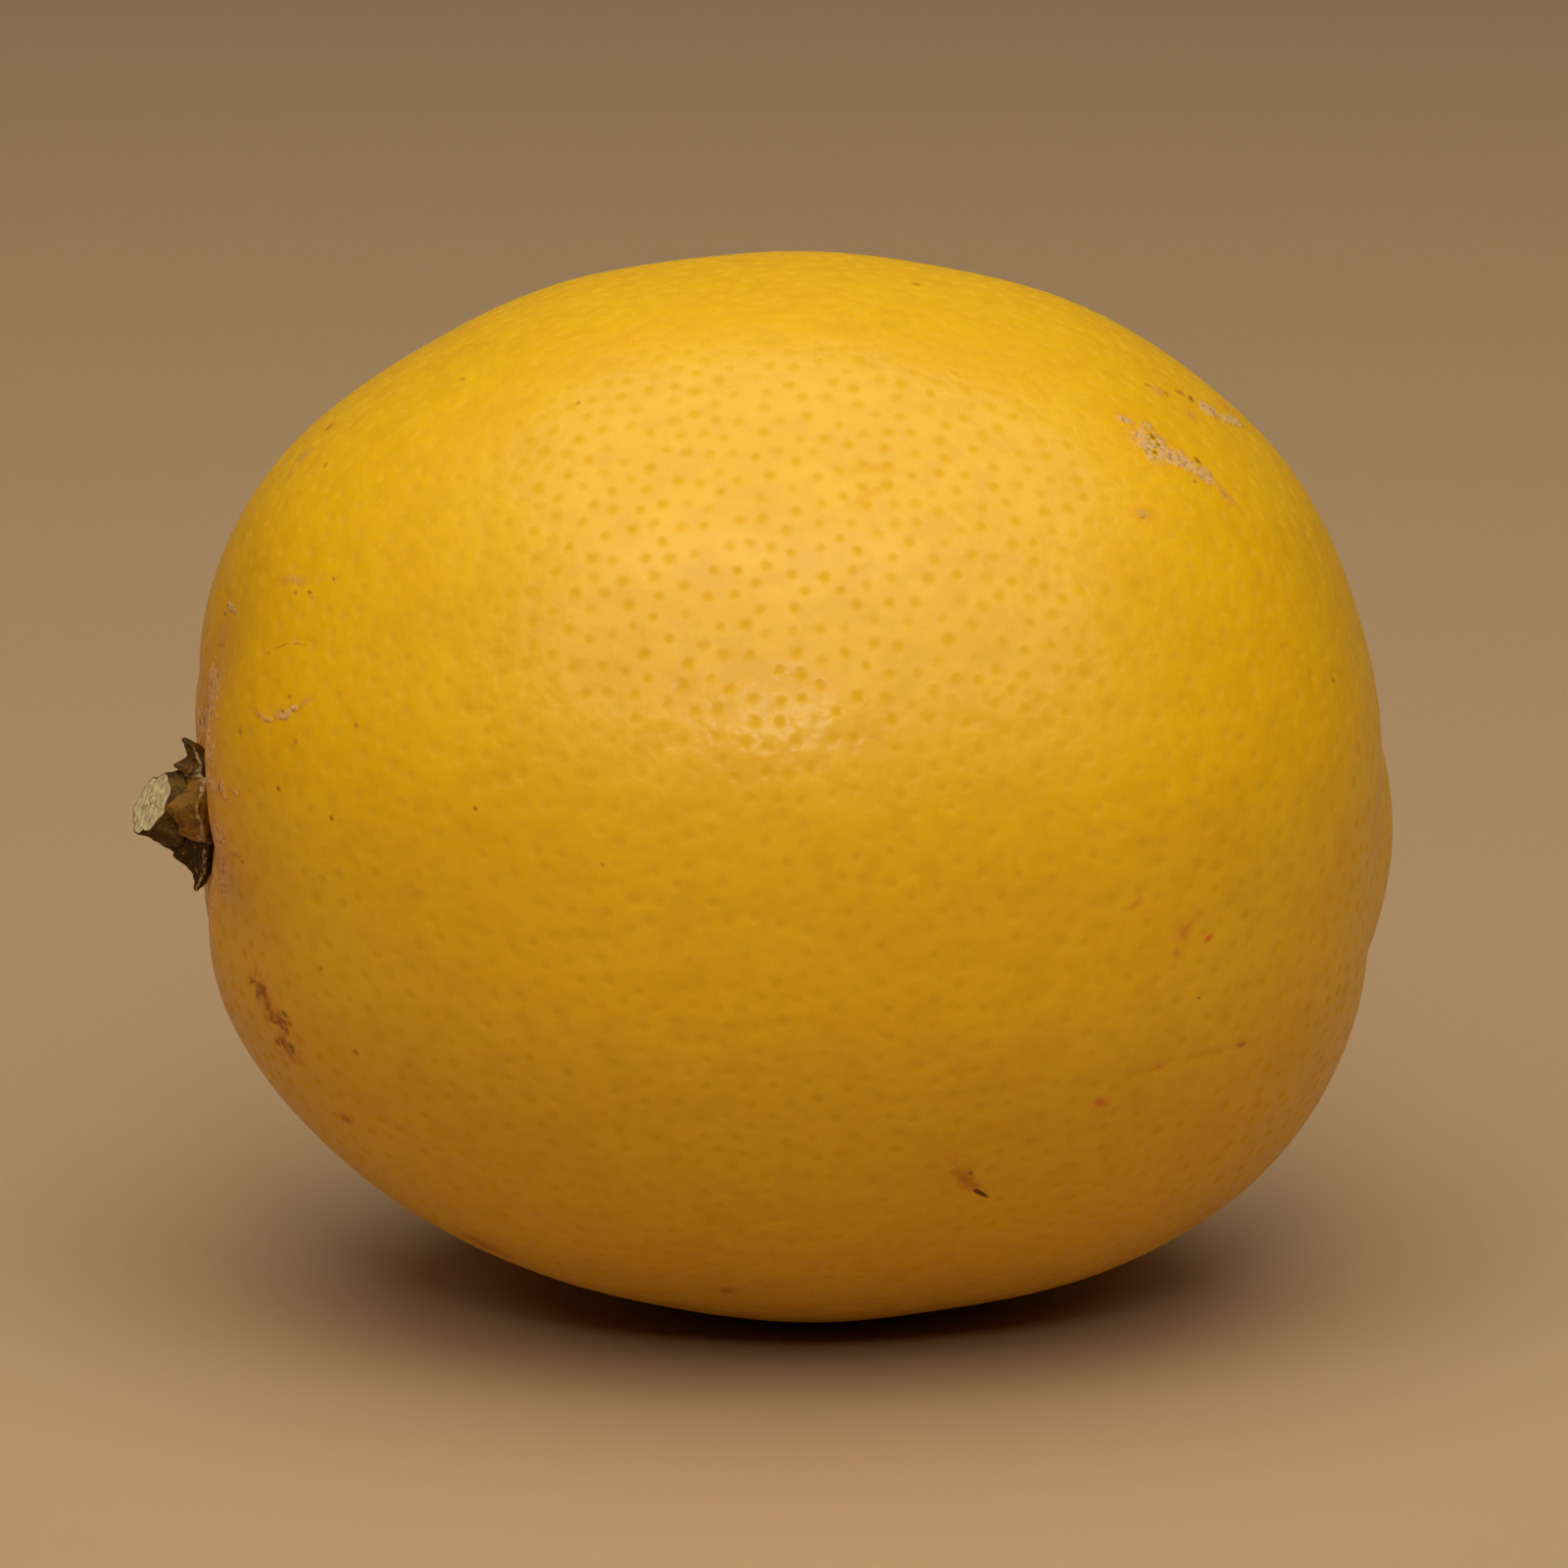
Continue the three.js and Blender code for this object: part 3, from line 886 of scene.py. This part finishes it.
def sepal_material(stem):
    material, tree, place = new_material("dry_sepal")
    blotch = noise_field(place, 1.2 * MM, detail=4.0, roughness=0.65)
    fibres = noise_field(place, 0.22 * MM, detail=3.0)
    tone = attribute(tree, "tone", "Fac")
    dark, brown, pale = (opaque(stem.sepal_colour, shade) for shade in (0.16, 1.0, 2.2))
    # Darker sepals by their last value: partly their own dry brown, partly painted shade on the sepals that
    # lie in shadow
    colour = mix_colour(tree, ramp(tone + (blotch - 0.5) * 1.5, 0.15, 1.0), dark, brown)
    fine = noise_field(place, 0.55 * MM, detail=3.0, roughness=0.6)
    colour = mix_colour(tree, ramp(fine, 0.50, 0.34) * 0.5, colour, dark)
    colour = mix_colour(tree, ramp(fibres, 0.54, 0.70) * 0.45, colour, pale)
    edge = attribute(tree, "edge", "Fac")
    # Paler along each sepal's rim and the top of its lapping step: partly the dry edge's own colour, partly
    # a painted highlight on the step
    rim = ramp(edge + (fibres - 0.5) * 0.2, 0.93, 1.0) * ramp(blotch, 0.42, 0.55)
    colour = mix_colour(tree, rim * 0.85, colour, PALE_EDGE_AND_HIGHLIGHT)
    height = blotch * (0.10 * MM) + fine * (0.12 * MM) + fibres * (0.04 * MM)
    finish_material(tree, colour, height, Roughness=0.5 + blotch * 0.3, Specular_IOR_Level=0.2)
    return material


def stem_material(stem):
    material, tree, place = new_material("cut_stem")
    blotch = noise_field(place, 0.9 * MM, detail=4.0, roughness=0.65)
    grain = noise_field(place, 0.18 * MM, detail=3.0)
    dark, bark, pale = (opaque(stem.bark_colour, shade) for shade in (0.25, 1.0, 2.2))
    colour = mix_colour(tree, ramp(blotch, 0.38, 0.62), dark, bark)
    colour = mix_colour(tree, ramp(grain, 0.55, 0.75) * 0.4, colour, pale)
    wood, streaked = opaque(stem.wood_colour), opaque(stem.wood_colour, 0.5)
    drawn = vector_maths("MULTIPLY", place, (1.0, 1.0, 0.12))
    streak = noise_field(drawn, 0.22 * MM, detail=3.0, roughness=0.6)
    face = mix_colour(tree, ramp(streak, 0.62, 0.40) * 0.8, wood, streaked)
    cut = attribute(tree, "cut", "Fac")
    colour = mix_colour(tree, ramp(cut + (grain - 0.5) * 0.25, 0.45, 0.6), colour, face)
    height = blotch * (0.08 * MM) + grain * (0.03 * MM) + streak * (0.07 * MM)
    finish_material(tree, colour, height, Roughness=0.7, Specular_IOR_Level=0.2)
    return material


def floor_material(stage):
    material, tree, place = new_material("pale_floor")
    soft = noise_field(place, 0.25, detail=3.0)
    colour = mix_colour(tree, soft * 0.12, opaque(stage.floor_colour), opaque(stage.floor_colour, 0.8))
    finish_material(tree, colour, None, Roughness=0.85)
    return material


# Calyx and stub


def closed_skin(name, turns, rows, place, material, attributes):
    """A closed surface. place(turn, share) gives a point and its values for the attributes, with share
    from 0 at the outer pole to 1 at the inner one."""
    angles = [2 * math.pi * i / turns for i in range(turns)]
    spots = [(0.0, 0.0)]
    spots += [(turn, row / rows) for row in range(1, rows) for turn in angles]
    spots.append((0.0, 1.0))
    found = [place(turn, share) for turn, share in spots]
    faces = []
    last = len(found) - 1
    bottom = 1 + (rows - 2) * turns
    for i in range(turns):
        j = (i + 1) % turns
        faces.append((0, 1 + i, 1 + j))
        for row in range(rows - 2):
            a, b = 1 + row * turns, 1 + (row + 1) * turns
            faces.append((a + i, b + i, b + j, a + j))
        faces.append((last, bottom + j, bottom + i))
    mesh = bpy.data.meshes.new(name)
    mesh.from_pydata([point for point, _ in found], [], faces)
    mesh.shade_smooth()
    mesh.materials.append(material)
    for i, attribute_name in enumerate(attributes):
        layer = mesh.attributes.new(attribute_name, "FLOAT", "POINT")
        layer.data.foreach_set("value", [values[i] for _, values in found])
    thing = bpy.data.objects.new(name, mesh)
    bpy.context.collection.objects.link(thing)
    return thing


# The slant of the cut, the fold of the sepals up round the stem, how far the surfaces stray, and the
# turns and rows of the meshes
CUT_UP = 0.30
CUT_FRONT = 0.25
COLLAR_RADIUS = 2.75 * MM
COLLAR_SPREAD = 0.42 * MM
MIDRIB_ROUND = 0.12  # how round the tip of a sepal is
CALYX_GAP = 0.22 * MM
SEPAL_SWAY = 0.18 * MM
SEPAL_RIB = 0.16 * MM
CRUMPLE, FINE_CRUMPLE = 0.14 * MM, 0.07 * MM
SEPAL_TEAR, FINE_SEPAL_TEAR = 0.30 * MM, 0.14 * MM
UNDERCUT = 0.9 * MM
BUTTON_SINK, STUB_SINK, STUB_FLARE = 0.3 * MM, 0.35 * MM, 0.25 * MM
BARK_RIDGES, BARK_RIDGE_RISE, BARK_WAVE, BARK_GRAIN = 7, 0.05, 0.07, 0.04
RIM_CHIP, CUT_DISH = 0.10 * MM, 0.12 * MM
CALYX_MESH, STUB_MESH = (240, 64), (160, 60)
STUB_RIM, STUB_HEEL = 0.26, 0.92  # where the cut ends and the foot starts, as shares of the way down


def wobble(turn, share, seed, scale=1.0):
    """Smooth noise from -1 to 1 on a ring, without a seam."""
    return noise.noise((math.cos(turn) * scale + seed, math.sin(turn) * scale - seed, share * 3.0 + seed))


def sepal_at(turn, stem):
    """The sepal at a turn round the stem, how far out it reaches there, how near that is to its midrib and
    how far on from its lapping edge."""
    count = len(SEPALS)
    strayed = turn + 0.10 * wobble(turn, 0, 3.1, 1.5)
    place = ((strayed - SEPAL_TURN) / (2 * math.pi) * count) % count
    sepal = SEPALS[round(place) % count]
    point = math.hypot(1.0, MIDRIB_ROUND) - math.hypot(math.sin(math.pi * place), MIDRIB_ROUND)
    ragged = SEPAL_TEAR * wobble(turn, 0, 8.3, 6.0) + FINE_SEPAL_TEAR * wobble(turn, 0, 5.7, 17.0)
    return sepal, stem.button_radius + sepal.length * point ** 0.8 + ragged, point, (place + 0.5) % 1


def stem_place(foot, axes, turn, radius, height):
    axis, front, upward = axes
    return foot + axis * height + front * (radius * math.cos(turn)) + upward * (radius * math.sin(turn))


def make_calyx(stem, foot, skin_axes, stem_axes, material):
    """The button: five sepals that lap over one another, curl at their tips and fold up round the stem."""

    def place(turn, share):
        sepal, reach, point, onward = sepal_at(turn, stem)
        out = math.sin(math.pi * share) ** 0.8
        radius = reach * out
        beyond = max(0.0, radius / stem.button_radius - 0.6)
        middling = min(1.0, radius / stem.cone_radius)
        thick = stem.sepal_thickness * math.sqrt(max(0.0, 1 - out ** 6)) * (1 - 0.3 * min(1.0, beyond))
        lift = CALYX_GAP + stem.sepal_thickness / 2 + sepal.curl * point * beyond ** 2
        lift += stem.sepal_lap * (1 - onward) * middling
        lift += SEPAL_SWAY * wobble(turn, radius / MM, 2.2, 2.0) * out
        outer = share < 0.5
        inner = math.exp(-((radius / stem.cone_radius) ** 4)) if outer else 0.0
        height = lift + (stem.button_height - BUTTON_SINK - stem.sepal_thickness) * inner
        if outer:
            collar = math.exp(-(((radius - COLLAR_RADIUS) / COLLAR_SPREAD) ** 2))
            height += thick / 2 + sepal.fold * collar * (0.3 + 0.7 * point)
            height += SEPAL_RIB * point ** 3 * out
            height += CRUMPLE * wobble(turn, radius / MM, 6.1, 8.0) * out
            height += FINE_CRUMPLE * wobble(turn, radius / MM, 1.4, 18.0) * out
        else:
            height -= thick / 2 + UNDERCUT * (1 - out)
        axes = [a.lerp(b, inner).normalized() for a, b in zip(skin_axes, stem_axes)]
        edge = max(out ** 6, 1 - onward)
        return stem_place(foot, axes, turn, radius, height), (edge, sepal.tone)

    return closed_skin("calyx_button", *CALYX_MESH, place, material, ("edge", "tone"))


def make_stub(stem, foot, axes, material):
    """The stub: rough bark that tapers to a slanting cut with a ragged rim."""
    low = stem.button_height - STUB_SINK
    widening = stem.stub_base_radius + STUB_FLARE - stem.stub_cut_radius

    def place(turn, share):
        side = min(1.0, max(0.0, (share - STUB_RIM) / (STUB_HEEL - STUB_RIM)))
        out = min(1.0, math.sin(math.pi * min(share, 0.5)) / math.sin(math.pi * STUB_RIM))
        if share > STUB_HEEL:
            out = math.cos((share - STUB_HEEL) / (1 - STUB_HEEL) * math.pi / 2)
        ridge = 1 + BARK_RIDGE_RISE * math.cos(BARK_RIDGES * turn + 1.5 * math.sin(turn))
        ridge += BARK_WAVE * wobble(turn, side, 4.4, 3.0)
        ridge += BARK_GRAIN * wobble(turn, side * 2, 9.4, 8.0)
        radius = (stem.stub_cut_radius + widening * side ** 1.5) * ridge * out
        end = stem.stub_end - radius * (CUT_UP * math.sin(turn) + CUT_FRONT * math.cos(turn))
        if share <= STUB_RIM:
            end += RIM_CHIP * wobble(turn, radius / MM, 1.9, 2.5) + CUT_DISH * (out - 0.4) ** 2
        height = end + (low - end) * side
        return stem_place(foot, axes, turn, radius, height), (1.0 if share < STUB_RIM * 0.93 else 0.0,)

    return closed_skin("cut_stem", *STUB_MESH, place, material, ("cut",))


# Operators


class LEMON_OT_fruit(Operator):
    """Builds the rind, with its oil glands, lumps, scars and specks"""

    bl_idname = "lemon.fruit"
    bl_label = "Fruit"

    def execute(self, context):
        shape, rind = context.scene.lemon_shape, context.scene.lemon_rind
        sizes = shape_sizes(shape)
        middle = fruit_middle(sizes)
        material = rind_material(shape, rind, stem_frame(sizes)[0])
        values = {**sizes, "middle": tuple(middle)}
        fruit = plain_mesh(fruit_tree(values, material), "lemon_rind", values, material)
        mesh = fruit.data
        skin = BVHTree.FromPolygons([v.co for v in mesh.vertices], [p.vertices for p in mesh.polygons])
        write_marks(mesh, unseen_marks(skin, middle) + photo_marks(skin))
        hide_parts("fruit")
        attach(fruit, "root")
        return {"FINISHED"}


class LEMON_OT_calyx(Operator):
    """Builds the dry calyx with its five curled sepals"""

    bl_idname = "lemon.calyx"
    bl_label = "Calyx"

    def execute(self, context):
        stem = context.scene.lemon_stem
        foot, skin_axes, stem_axes = stem_frame(shape_sizes(context.scene.lemon_shape))
        calyx = make_calyx(stem, foot, skin_axes, stem_axes, sepal_material(stem))
        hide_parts("calyx")
        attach(calyx, "root")
        return {"FINISHED"}


class LEMON_OT_stem(Operator):
    """Builds the stub of stem with its bark and its slanting cut"""

    bl_idname = "lemon.stem"
    bl_label = "Stem stub"

    def execute(self, context):
        stem = context.scene.lemon_stem
        foot, _, stem_axes = stem_frame(shape_sizes(context.scene.lemon_shape))
        stub = make_stub(stem, foot, stem_axes, stem_material(stem))
        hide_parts("stem_stub")
        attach(stub, "root")
        return {"FINISHED"}


class LEMON_OT_stage(Operator):
    """Sets the floor, the soft lights and the camera"""

    bl_idname = "lemon.stage"
    bl_label = "Stage"

    def execute(self, context):
        stage = context.scene.lemon_stage
        make_floor(stage)
        make_lights(stage)
        make_camera()
        return {"FINISHED"}


def make_floor(stage):
    """A level floor that bends up into a backdrop."""
    front, back, bend, top, half_width, steps = -1.6, 0.75, 0.35, 1.5, 1.8, 16
    profile = [(front, 0.0), (0.0, 0.0), (back, 0.0)]
    for i in range(1, steps + 1):
        a = math.pi / 2 * i / steps
        profile.append((back + bend * math.sin(a), bend * (1 - math.cos(a))))
    profile.append((back + bend, top))
    points = [(x, y, z) for y, z in profile for x in (-half_width, half_width)]
    faces = [(2 * i, 2 * i + 1, 2 * i + 3, 2 * i + 2) for i in range(len(profile) - 1)]
    mesh = bpy.data.meshes.new("floor")
    mesh.from_pydata(points, [], faces)
    mesh.shade_smooth()
    mesh.materials.append(floor_material(stage))
    floor = bpy.data.objects.new("floor", mesh)
    bpy.context.collection.objects.link(floor)


LIGHTS_AIM = Vector((0, 0, 0.031))
WARM_WHITE = (1.0, 0.96, 0.85)
FILL_COLOUR = (1.0, 0.82, 0.62, 1)
Light = namedtuple("Light", "name elevation distance size")
LIGHTS = {
    "key_power": Light("key_light", 51 * DEGREE, 0.8, (1.4, 0.62)),
    "top_power": Light("top_light", 86 * DEGREE, 0.9, (1.2, 1.0)),
    "glint_power": Light("glint_light", 30 * DEGREE, 0.8, (0.15, 0.08)),
}


def area_light(light, power):
    """A soft oval light over the camera's side that looks at the fruit's middle."""
    data = bpy.data.lights.new(light.name, "AREA")
    data.shape = "ELLIPSE"
    data.size, data.size_y = light.size
    data.energy = power
    data.color = WARM_WHITE
    lamp = bpy.data.objects.new(light.name, data)
    bpy.context.collection.objects.link(lamp)
    way = way_to(CAMERA_ROUND, light.elevation)
    lamp.location = LIGHTS_AIM + way * light.distance
    lamp.rotation_euler = way.to_track_quat("Z", "Y").to_euler()


def make_lights(stage):
    for setting, light in LIGHTS.items():
        area_light(light, getattr(stage, setting))
    world = bpy.data.worlds.new("studio")
    world.use_nodes = True
    background = world.node_tree.nodes["Background"]
    background.inputs["Color"].default_value = FILL_COLOUR
    background.inputs["Strength"].default_value = stage.fill_strength
    bpy.context.scene.world = world
    bpy.context.scene.view_settings.view_transform = "Standard"


def make_camera():
    place, right, up, back = photo_camera()
    data = bpy.data.cameras.new("camera")
    data.sensor_width = SENSOR
    data.lens = SENSOR * PHOTO_FOCAL / PHOTO_SIDE
    data.clip_start = 0.01
    camera = bpy.data.objects.new("camera", data)
    bpy.context.collection.objects.link(camera)
    camera.matrix_world = Matrix((
        (right.x, up.x, back.x, place.x),
        (right.y, up.y, back.y, place.y),
        (right.z, up.z, back.z, place.z),
        (0, 0, 0, 1),
    ))
    bpy.context.scene.camera = camera


class LEMON_PT_panel(Panel):
    bl_label = "Lemon"
    bl_idname = "LEMON_PT_panel"
    bl_space_type = "VIEW_3D"
    bl_region_type = "UI"
    bl_category = "Lemon"

    def draw(self, context):
        for title, group, operators in (
            ("Fruit", "lemon_shape", ["lemon.fruit"]),
            ("Rind", "lemon_rind", []),
            ("Stem", "lemon_stem", ["lemon.calyx", "lemon.stem"]),
            ("Stage", "lemon_stage", ["lemon.stage"]),
        ):
            box = self.layout.box()
            box.label(text=title)
            settings = getattr(context.scene, group)
            for name in settings.bl_rna.properties.keys():
                if name not in ("rna_type", "name"):
                    box.prop(settings, name)
            for operator in operators:
                box.operator(operator)


GROUPS = {
    "lemon_shape": LemonShape,
    "lemon_rind": LemonRind,
    "lemon_stem": LemonStem,
    "lemon_stage": LemonStage,
}
OPERATORS = (LEMON_OT_fruit, LEMON_OT_calyx, LEMON_OT_stem, LEMON_OT_stage)


def register():
    for cls in (*GROUPS.values(), *OPERATORS, LEMON_PT_panel):
        bpy.utils.register_class(cls)
    for name, group in GROUPS.items():
        setattr(bpy.types.Scene, name, PointerProperty(type=group))


def unregister():
    for name in GROUPS:
        delattr(bpy.types.Scene, name)
    for cls in (LEMON_PT_panel, *reversed(OPERATORS), *reversed(GROUPS.values())):
        bpy.utils.unregister_class(cls)


def main():
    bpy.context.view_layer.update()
    register()
    bpy.ops.lemon.stage()
    bpy.ops.lemon.fruit()
    bpy.ops.lemon.calyx()
    bpy.ops.lemon.stem()


if __name__ == "__main__":
    main()
